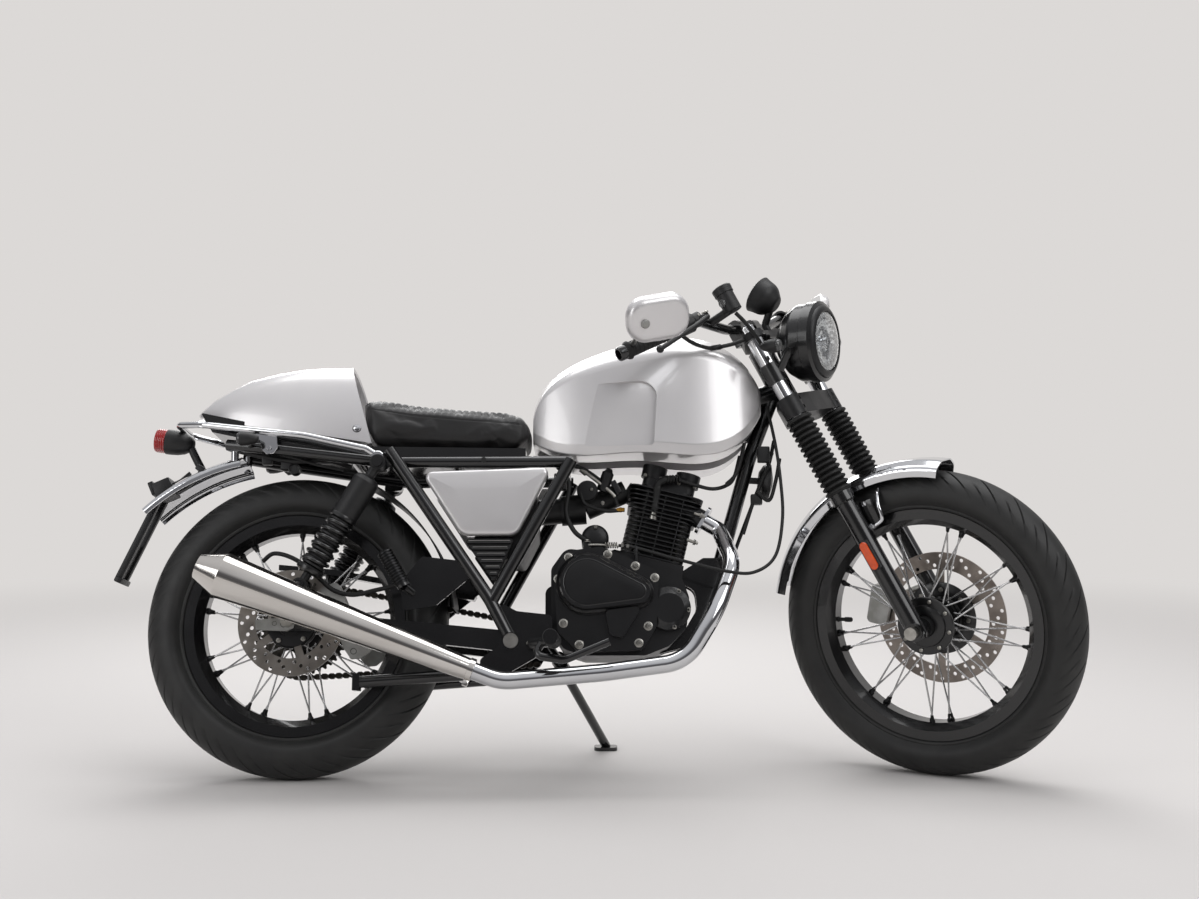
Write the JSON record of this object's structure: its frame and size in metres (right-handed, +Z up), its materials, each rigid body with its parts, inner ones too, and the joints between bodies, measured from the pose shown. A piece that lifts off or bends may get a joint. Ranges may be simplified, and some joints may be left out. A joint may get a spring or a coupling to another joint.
{
  "type": "cafe racer motorcycle",
  "caption": "Small cafe racer motorcycle with a long silver tank, humped seat cowl and megaphone silencer, leaning on its side stand with the front wheel turned to the right.",
  "frame": {"origin": "on the ground, under the middle of the bounding box", "axes": "+X towards the front wheel along the frame, +Y to the rider's left (the side it leans to), +Z up"},
  "size_m": [1.9721, 0.8464, 1.0751],
  "materials": {
    "bare_aluminium": "satin",
    "black_cast": "satin",
    "black_paint": "gloss",
    "black_plastic": "matte",
    "brushed_steel": "brushed",
    "chrome": "polished",
    "clear_lens": "clear",
    "leather": "satin",
    "red_lens": "gloss",
    "rubber": "matte",
    "silver_paint": "satin",
    "tyre": "matte"
  },
  "bodies": {
    "frame": {"head_and_backbone": "black_paint", "down_tube": "black_paint", "frame_stays": "black_paint", "subframe": "black_paint", "swingarm": "black_paint", "frame_spindles": "brushed_steel", "rear_shocks": "black_paint", "fuel_tank": "silver_paint", "fuel_cap": "chrome", "seat": "leather", "tail_cowl": "silver_paint", "grab_rail": "chrome", "side_panels": "silver_paint", "rear_fender": "chrome", "rear_hugger": "black_plastic", "tail_lamp": "red_lens", "plate_bracket": "black_plastic", "crankcase": "black_cast", "engine_covers": "black_cast", "cylinder_barrel": "black_cast", "cylinder_head": "black_cast", "intake": "black_plastic", "exhaust_header": "chrome", "silencer": "brushed_steel", "chain": "brushed_steel", "rear_caliper": "bare_aluminium", "horn": "black_plastic", "foot_controls": "black_paint", "side_stand_bracket": "black_paint"},
    "steering": {"fork_lower_legs": "black_paint", "fork_tubes": "chrome", "fork_gaiters": "rubber", "yokes": "black_paint", "handlebar": "black_paint", "bar_grips": "rubber", "bar_controls": "black_plastic", "bar_end_mirrors": "silver_paint", "headlamp_shell": "black_paint", "headlamp_lens": "clear_lens", "gauge": "chrome", "front_indicators": "black_plastic", "front_fender": "chrome", "front_axle": "brushed_steel", "front_caliper": "bare_aluminium"},
    "front_wheel": {"front_tyre": "tyre", "front_rim": "black_paint", "front_spokes": "brushed_steel", "front_hub": "bare_aluminium", "front_brake_disc": "brushed_steel"},
    "rear_wheel": {"rear_tyre": "tyre", "rear_rim": "black_paint", "rear_spokes": "brushed_steel", "rear_hub": "bare_aluminium", "rear_brake_disc": "brushed_steel", "rear_sprocket": "brushed_steel"},
    "side_stand": {"side_stand": "black_paint"},
    "centre_stand": {"centre_stand": "black_paint"}
  },
  "joints": [
    {"name": "steering", "type": "hinge", "parent": "frame", "child": "steering", "pos_m": [0.67636, -0.11908, 0.29757], "axis": [-0.4563, 0.1928, 0.8687], "range_deg": [0, 70.8]},
    {"name": "front_wheel_spin", "type": "hinge", "parent": "steering", "child": "front_wheel", "pos_m": [0.70609, -0.13898, 0.3176], "axis": [0.5159, 0.8527, 0.0817], "continuous": true},
    {"name": "rear_wheel_spin", "type": "hinge", "parent": "frame", "child": "rear_wheel", "pos_m": [-0.61213, -0.11646, 0.30603], "axis": [0.0006, 0.9763, -0.2164], "continuous": true},
    {"name": "side_stand_fold", "type": "hinge", "parent": "frame", "child": "side_stand", "pos_m": [-0.05683, -0.01097, 0.19191], "axis": [-0.1838, 0.8099, 0.5571], "range_deg": [0, 98]},
    {"name": "centre_stand_fold", "type": "hinge", "parent": "frame", "child": "centre_stand", "pos_m": [-0.20787, -0.13897, 0.20555], "axis": [-0.0006, -0.9763, 0.2164], "range_deg": [0, 105]}
  ]
}
